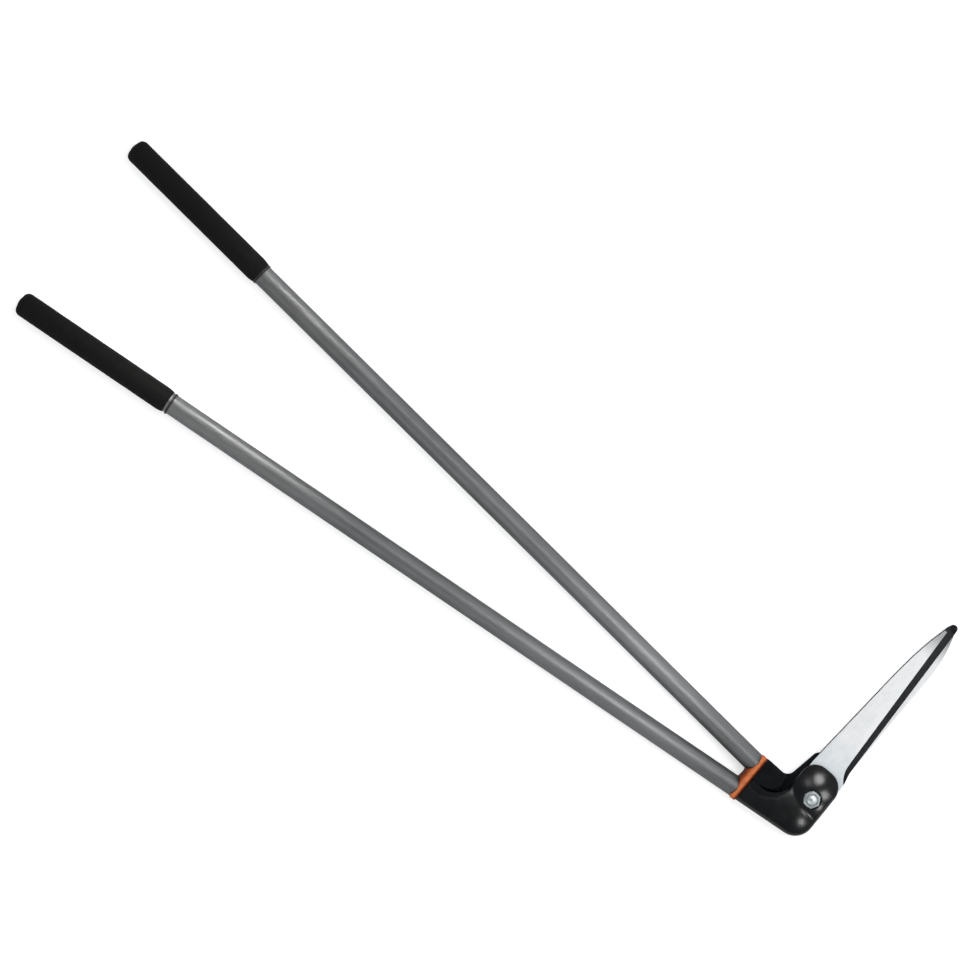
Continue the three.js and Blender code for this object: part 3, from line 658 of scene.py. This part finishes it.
def collarShape(side):
    # a bead round the joint's end, and a mouth drawn out along the tube on its outer side
    along = axisOf(side).col[1].to_3d()
    start = axisOf(side).translation

    def shape(spot, normal):
        lift = spot.z - collarLook["axisHeight"]
        on = smoothStep(collarLook["skinFrom"], collarLook["skinTo"], abs(lift))
        past = spot.y - collarLook["joint"]
        drop = 1.7 * mm * (1.0 - smoothStep(0.2 * mm, 3.4 * mm, past)) + 1.3 * mm * smoothStep(5 * mm, 11 * mm, past)
        spot.z -= math.copysign(drop * on, lift)
        middle = start + along * (spot - start).dot(along)
        outward = (middle.x - spot.x) if side == "front" else (spot.x - middle.x)
        pull = collarLook["reach"] * (0.5 + 0.5 * smoothStep(0.0, 9 * mm, outward))
        pull *= smoothStep(-7 * mm, -2 * mm, outward) * smoothStep(1.2 * mm, 3.4 * mm, past)
        pull *= 1.0 - smoothStep(9 * mm, 12.6 * mm, outward)
        return spot + along * pull

    return shape


# ---- blades: bright sheet steel, painted shade on the ground bevel and spine, dark tip

bladeLook = {
    "edge": 0.10 * mm,
    "spineChamfer": 0.85 * mm,
    "spineFrom": 41 * mm,
    "blackTip": 221.5 * mm,
    "fadeFrom": 192 * mm,
    "fadeTo": 218 * mm,
    "dull": (0.880, 0.900, 0.910),
    "bright": (1.000, 1.000, 1.000),
    "tang": (0.740, 0.810, 0.845),
    "tangTo": 78 * mm,
    "faded": (0.300, 0.305, 0.310),
    "metal": 0.2,
    "roughLow": 0.42,
    "roughHigh": 0.56,
    "groundDark": (0.008, 0.009, 0.010),
    "groundLight": (0.026, 0.027, 0.030),
    "groundRough": (0.30, 0.44),
    "grindTurn": 84,
}


def bladePaint():
    paint = Paint("bladeSteel", Metallic=bladeLook["metal"])
    patches = paint.noise(95, 6, 0.65)
    rolled = paint.noise(900, 4, 0.6, (14, 1, 1))
    mixed = paint.math("ADD", paint.math("MULTIPLY", patches, 0.7), paint.math("MULTIPLY", rolled, 0.3))
    face = paint.ramp(mixed, [(0.36, bladeLook["dull"]), (0.60, bladeLook["bright"])])
    place = paint.add("ShaderNodeSeparateXYZ")
    paint.link(paint.coords(), place.inputs["Vector"])
    outward = paint.math("ADD", place.outputs["X"], paint.math("MULTIPLY", patches, 8 * mm))
    nearTang = paint.spread(outward, 0.9, 0.0, 20 * mm, bladeLook["tangTo"])
    fade = paint.spread(outward, 0.0, 0.8, bladeLook["fadeFrom"], bladeLook["fadeTo"])
    cooler = paint.mixColor(nearTang, face, paint.product(face, paint.flat(bladeLook["tang"])))
    paint.color(paint.mixColor(fade, cooler, bladeLook["faded"]))
    paint.roughness(paint.spread(mixed, bladeLook["roughLow"], bladeLook["roughHigh"]))
    paint.bump(rolled, 0.010 * mm)
    return paint.material


# near-black steel: painted shade on the sloped faces, the tip's own dark on the tip
def groundPaint():
    paint = Paint("groundEdge", Metallic=0.9)
    grind = paint.noise(2600, 3, 0.6, (1, 22, 1), math.radians(bladeLook["grindTurn"] - 90))
    patches = paint.noise(140, 5, 0.6)
    mixed = paint.math("ADD", paint.math("MULTIPLY", grind, 0.5), paint.math("MULTIPLY", patches, 0.5))
    paint.color(paint.ramp(mixed, [(0.35, bladeLook["groundDark"]), (0.66, bladeLook["groundLight"])]))
    paint.roughness(paint.spread(mixed, *bladeLook["groundRough"]))
    paint.bump(grind, 0.012 * mm)
    return paint.material


def makeBlade(side, bright, ground):
    # the spine gets a broad chamfer, every other edge a fine one; sloped faces are painted dark as shade, and the
    # tip is dark
    node = side + "_blade"
    outward = 1 if side == "front" else -1
    mesh = weldedCopy(node)
    bm = bmesh.new()
    bm.from_mesh(mesh)
    bmesh.ops.dissolve_limit(bm, angle_limit=math.radians(0.6), verts=bm.verts, edges=bm.edges)
    spine, fine = [], []
    for edge in bm.edges:
        if len(edge.link_faces) != 2:
            continue
        first, second = (face.normal for face in edge.link_faces)
        if abs(first.z - second.z) < 0.03:
            continue
        face, wall = (first, second) if abs(first.z) > abs(second.z) else (second, first)
        onSpine = face.z * outward > 0.9 and abs(wall.z) < 0.1 and wall.y * outward > 0.15
        if onSpine and min(v.co.x for v in edge.verts) > bladeLook["spineFrom"]:
            spine.append(edge)
        else:
            fine.append(edge)
    bmesh.ops.bevel(bm, geom=spine, offset=bladeLook["spineChamfer"], segments=1, profile=0.5,
                    affect="EDGES", clamp_overlap=False)
    fine = [edge for edge in fine if edge.is_valid]
    bmesh.ops.bevel(bm, geom=fine, offset=bladeLook["edge"], segments=2, profile=0.5,
                    affect="EDGES", clamp_overlap=True)
    tip = Vector((bladeLook["blackTip"], 0, 0))
    bmesh.ops.bisect_plane(bm, geom=[*bm.verts, *bm.edges, *bm.faces], plane_co=tip, plane_no=(1, 0, 0))
    # sloped faces take the near-black paint as painted shade; the tip takes it as its own dark
    for face in bm.faces:
        flat = abs(face.normal.z) > 0.985
        onTip = face.calc_center_median().x > bladeLook["blackTip"]
        face.material_index = 0 if flat and not onTip else 1
    piece = finishEdged(bm, mesh, side + "_blade_ground", node, bright)
    mesh.materials.append(ground)
    return piece


# ---- fasteners: zinc plated steel

zincLook = {
    "dark": (0.42, 0.46, 0.47),
    "light": (0.62, 0.67, 0.68),
    "rough": (0.38, 0.50),
    "boltDark": (0.74, 0.79, 0.79),
    "boltLight": (0.90, 0.94, 0.94),
    "boltRough": (0.34, 0.46),
    "endPaintedShade": (0.44, 0.46, 0.46),
    "endFrom": 0.5 * mm,
    "endTo": 3.2 * mm,
    "slotHalfWidth": 0.075,
    "slotHalfLength": 0.30,
    "slotShade": (0.10, 0.11, 0.11),
    "slotDepth": 0.8 * mm,
}


def zincPaint(name, tones, detail=None):
    # plain plating; the bolt's ends are painted greyer in the middle as shade, and the screws have a cross recess
    # painted dark as shade
    paint = Paint(name, Metallic=1.0)
    cloud = paint.noise(420, 5, 0.65)
    fine = paint.noise(3600, 3)
    skin = paint.ramp(cloud, [(0.32, zincLook[tones[0]]), (0.66, zincLook[tones[1]])])
    under = paint.bump(fine, 0.012 * mm)
    if detail == "end":
        # painted shade: the middle of the bolt's ends is darkened
        reach = paint.add("ShaderNodeVectorMath", operation="LENGTH")
        paint.link(paint.coords((1, 1, 1e6)), reach.inputs[0])
        share = paint.spread(reach.outputs["Value"], 0.0, 1.0, zincLook["endFrom"], zincLook["endTo"])
        skin = paint.product(skin, paint.ramp(share, [(0.0, zincLook["endPaintedShade"]), (1.0, (1.0, 1.0, 1.0))]))
    if detail == "cross":
        # the cross recess is a bump with painted shade in it
        split = paint.add("ShaderNodeSeparateXYZ")
        paint.link(paint.coords(output="Generated"), split.inputs["Vector"])
        offX, offY = (paint.math("ABSOLUTE", paint.math("SUBTRACT", split.outputs[axis], 0.5), 0.0) for axis in "XY")
        width, length = zincLook["slotHalfWidth"], zincLook["slotHalfLength"]
        lengthwise = paint.math("MAXIMUM", paint.math("SUBTRACT", offX, width), paint.math("SUBTRACT", offY, length))
        crosswise = paint.math("MAXIMUM", paint.math("SUBTRACT", offX, length), paint.math("SUBTRACT", offY, width))
        slot = paint.spread(paint.math("MINIMUM", lengthwise, crosswise), 1.0, 0.0, -0.02, 0.02)
        skin = paint.mixColor(slot, skin, zincLook["slotShade"])
        paint.bump(paint.math("SUBTRACT", 1.0, slot), zincLook["slotDepth"], 1.0, under)
    paint.color(skin)
    paint.roughness(paint.spread(cloud, *zincLook[tones[2]]))
    return paint.material


nylonLook = {
    "whiteDark": (0.50, 0.49, 0.44),
    "whiteLight": (0.66, 0.65, 0.60),
    # the insert's grey is painted shade for the ring between nut and bolt
    "insertShadeDark": (0.20, 0.23, 0.23),
    "insertShadeLight": (0.36, 0.40, 0.40),
    "rough": (0.42, 0.58),
}


def nylonPaint(name, dark, light):
    paint = Paint(name, Specular_IOR_Level=0.5)
    cloud = paint.noise(300, 4)
    paint.color(paint.ramp(cloud, [(0.3, nylonLook[dark]), (0.7, nylonLook[light])]))
    paint.roughness(paint.spread(cloud, *nylonLook["rough"]))
    paint.bump(cloud, 0.02 * mm)
    return paint.material


# ---- putting the pieces together

plateTones = ("dark", "light", "rough")
zinc = zincPaint("zincPlate", plateTones)
screwZinc = zincPaint("zincScrew", plateTones, "cross")
boltZinc = zincPaint("zincBolt", ("boltDark", "boltLight", "boltRough"), "end")
nylon = nylonPaint("nylonWhite", "whiteDark", "whiteLight")
# the nut insert's nylon is painted grey: painted shade for the ring between nut and bolt
insertShadeNylon = nylonPaint("nylonInsertShade", "insertShadeDark", "insertShadeLight")
rubber = rubberPaint()
foam = foamPaint()
plastic = holderPaint("holderPlastic", holderLook["shine"], 1.0, 0.0)
# painted light: the rear holder's copy has a lifted colour and less shine, standing in for how light falls on it
shaded = holderPaint("rearHolderPlastic", holderLook["rearShine"], holderLook["rearLift"], holderLook["rearRough"])
orange = collarPaint()
steel = bladePaint()
ground = groundPaint()
print("materials ready")

for side in ("front", "rear"):
    makeTube(side)
    makeGrip(side, foam)
    makeRing(side, rubber)
    edged(side + "_tube_plug", side + "_tube_plug_moulded", rubber, 0.3 * mm)
    edged(side + "_tube_screw", side + "_tube_screw_head", screwZinc, 0.15 * mm)
    makeBlade(side, steel, ground)
    for number in ("1", "2"):
        name = side + "_blade_screw_" + number
        edged(name, name + "_sunk", zinc, 0.12 * mm)
    softened(side + "_collar", side + "_collar_bumper", orange, collarLook, collarShape(side),
             lambda spot, side=side: closeParting(spot, side))
print("levers dressed")

softened("front_holder", "front_holder_moulded", plastic, holderLook, frontHolderShape,
         lambda spot: closeParting(spot, "front"))
softened("rear_holder", "rear_holder_moulded", shaded, holderLook, rearHolderShape,
         lambda spot: closeParting(spot, "rear"))
print("holders dressed")

edged("pivot_bolt", "pivot_bolt_plated", boltZinc, 0.2 * mm)
edged("pivot_bush", "pivot_bush_plated", zinc, 0.1 * mm)
edged("blade_washer", "blade_washer_nylon", nylon, 0.08 * mm)
edged("nut_washer", "nut_washer_plated", zinc, 0.25 * mm, 3)
edged("pivot_nut", "pivot_nut_plated", zinc, 0.25 * mm, 3)
edged("nut_insert", "nut_insert_nylon", insertShadeNylon, 0.2 * mm, 3)
print("pivot dressed")


# ---- studio: pale floor, soft lights, camera straight above

studio = {
    "floorSize": 6.0,
    "floorDrop": 0.0003,
    "floorColor": (0.80, 0.80, 0.80),
    "floorLift": 0.60,
    "airColor": (0.96, 0.98, 1.0),
    "airLow": 1.14,
    "airHigh": 0.41,
    "airFrom": 0.35,
    "airTo": 0.80,
    "airSide": (0.93, -0.37, 0.0),
    "shadySide": 0.45,
    "lampAim": (0.0, 0.0),
    "lampDistance": 3.5,
    "pictureWidth": 1.0094,
    "centre": (0.0318, 0.4578),
    "focusHeight": 0.013,
    "turn": -50.06,
    "lens": 200,
    "sensor": 36,
}

lamps = [
    # name, how far it leans along x and y per metre of height, size, power
    ("upperSoftbox", (0.496, 0.082), 0.75, 15.4),
    ("rightSoftbox", (0.264, -0.256), 0.64, 11.0),
    ("heelSoftbox", (-0.024, -0.334), 0.42, 6.8),
    ("neckSoftbox", (0.250, 0.210), 0.45, 1.1),
    ("leftSoftbox", (-1.000, 0.200), 2.60, 17),
]


def makeFloor():
    half = studio["floorSize"] / 2
    mesh = bpy.data.meshes.new("floor")
    corners = [(-half, -half, 0), (half, -half, 0), (half, half, 0), (-half, half, 0)]
    mesh.from_pydata(corners, [], [(0, 1, 2, 3)])
    floor = bpy.data.objects.new("floor", mesh)
    floor.location = (*studio["centre"], -studio["floorDrop"])
    bpy.context.scene.collection.objects.link(floor)
    material = bpy.data.materials.new("paperFloor")
    material.use_nodes = True
    tree = material.node_tree
    shader = tree.nodes["Principled BSDF"]
    shader.inputs["Base Color"].default_value = (*studio["floorColor"], 1)
    shader.inputs["Roughness"].default_value = 0.9
    shader.inputs["Emission Color"].default_value = (1, 1, 1, 1)
    path = tree.nodes.new("ShaderNodeLightPath")
    lift = tree.nodes.new("ShaderNodeMath")
    lift.operation = "MULTIPLY"
    lift.inputs[1].default_value = studio["floorLift"]
    tree.links.new(path.outputs["Is Camera Ray"], lift.inputs[0])
    tree.links.new(lift.outputs["Value"], shader.inputs["Emission Strength"])
    mesh.materials.append(material)


def makeLamps():
    # the softboxes are laid out from the pivot, where their reflections show on the crown
    aim = Vector((*studio["lampAim"], studio["focusHeight"]))
    for name, lean, size, power in lamps:
        data = bpy.data.lights.new(name, "AREA")
        data.shape = "DISK"
        data.size = size
        data.energy = power
        away = Vector((*lean, 1)).normalized()
        lamp = bpy.data.objects.new(name, data)
        lamp.location = aim + away * studio["lampDistance"]
        lamp.rotation_euler = away.to_track_quat("Z", "Y").to_euler()
        bpy.context.scene.collection.objects.link(lamp)


gridBox = {
    "size": 0.12,
    "fan": 29.5,
}

gridBoxes = [
    # name, place, where it points, power, color
    ("gripGridBox", (0.50, 0.75, 0.45), (-0.162, 0.745, 0.02), 0.115, (1.0, 0.975, 0.93)),
    ("neckGridBox", (0.16, 0.21, 0.62), (-0.01, 0.20, 0.02), 0.034, (0.95, 0.97, 1.0)),
]


def makeGridBoxes():
    # small softboxes with a grid, set low: they light the tubes next to the grips and the head only
    for name, place, aim, power, color in gridBoxes:
        data = bpy.data.lights.new(name, "AREA")
        data.shape = "DISK"
        data.size = gridBox["size"]
        data.energy = power
        data.color = color
        data.spread = math.radians(gridBox["fan"])
        lamp = bpy.data.objects.new(name, data)
        lamp.location = place
        lamp.rotation_euler = (Vector(place) - Vector(aim)).to_track_quat("Z", "Y").to_euler()
        bpy.context.scene.collection.objects.link(lamp)


def makeWorld():
    # a pale room: bright round the horizon on one side, dim straight above, where the camera hangs
    world = bpy.data.worlds.new("studioAir")
    world.use_nodes = True
    tree = world.node_tree
    background = tree.nodes["Background"]
    background.inputs["Color"].default_value = (*studio["airColor"], 1)
    direction = tree.nodes.new("ShaderNodeTexCoord")
    parts = tree.nodes.new("ShaderNodeSeparateXYZ")
    fade = tree.nodes.new("ShaderNodeMapRange")
    fade.inputs["From Min"].default_value = studio["airFrom"]
    fade.inputs["From Max"].default_value = studio["airTo"]
    fade.inputs["To Min"].default_value = studio["airLow"]
    fade.inputs["To Max"].default_value = studio["airHigh"]
    tree.links.new(direction.outputs["Generated"], parts.inputs["Vector"])
    tree.links.new(parts.outputs["Z"], fade.inputs["Value"])
    toSide = tree.nodes.new("ShaderNodeVectorMath")
    toSide.operation = "DOT_PRODUCT"
    toSide.inputs[1].default_value = studio["airSide"]
    tree.links.new(direction.outputs["Generated"], toSide.inputs[0])
    lit = tree.nodes.new("ShaderNodeMapRange")
    lit.inputs["From Min"].default_value = -0.5
    lit.inputs["From Max"].default_value = 0.7
    lit.inputs["To Min"].default_value = studio["shadySide"]
    tree.links.new(toSide.outputs["Value"], lit.inputs["Value"])
    strength = tree.nodes.new("ShaderNodeMath")
    strength.operation = "MULTIPLY"
    tree.links.new(fade.outputs["Result"], strength.inputs[0])
    tree.links.new(lit.outputs["Result"], strength.inputs[1])
    tree.links.new(strength.outputs["Value"], background.inputs["Strength"])
    bpy.context.scene.world = world


def makeCamera():
    data = bpy.data.cameras.new("camera")
    data.sensor_width = studio["sensor"]
    data.lens = studio["lens"]
    reach = studio["pictureWidth"] * studio["lens"] / studio["sensor"]
    data.clip_end = reach * 3
    camera = bpy.data.objects.new("camera", data)
    camera.location = (*studio["centre"], studio["focusHeight"] + reach)
    camera.rotation_euler = (0, 0, math.radians(studio["turn"]))
    bpy.context.scene.collection.objects.link(camera)
    bpy.context.scene.camera = camera


makeFloor()
makeLamps()
makeGridBoxes()
makeWorld()
makeCamera()
bpy.context.scene.view_settings.view_transform = "Standard"
print("studio ready")
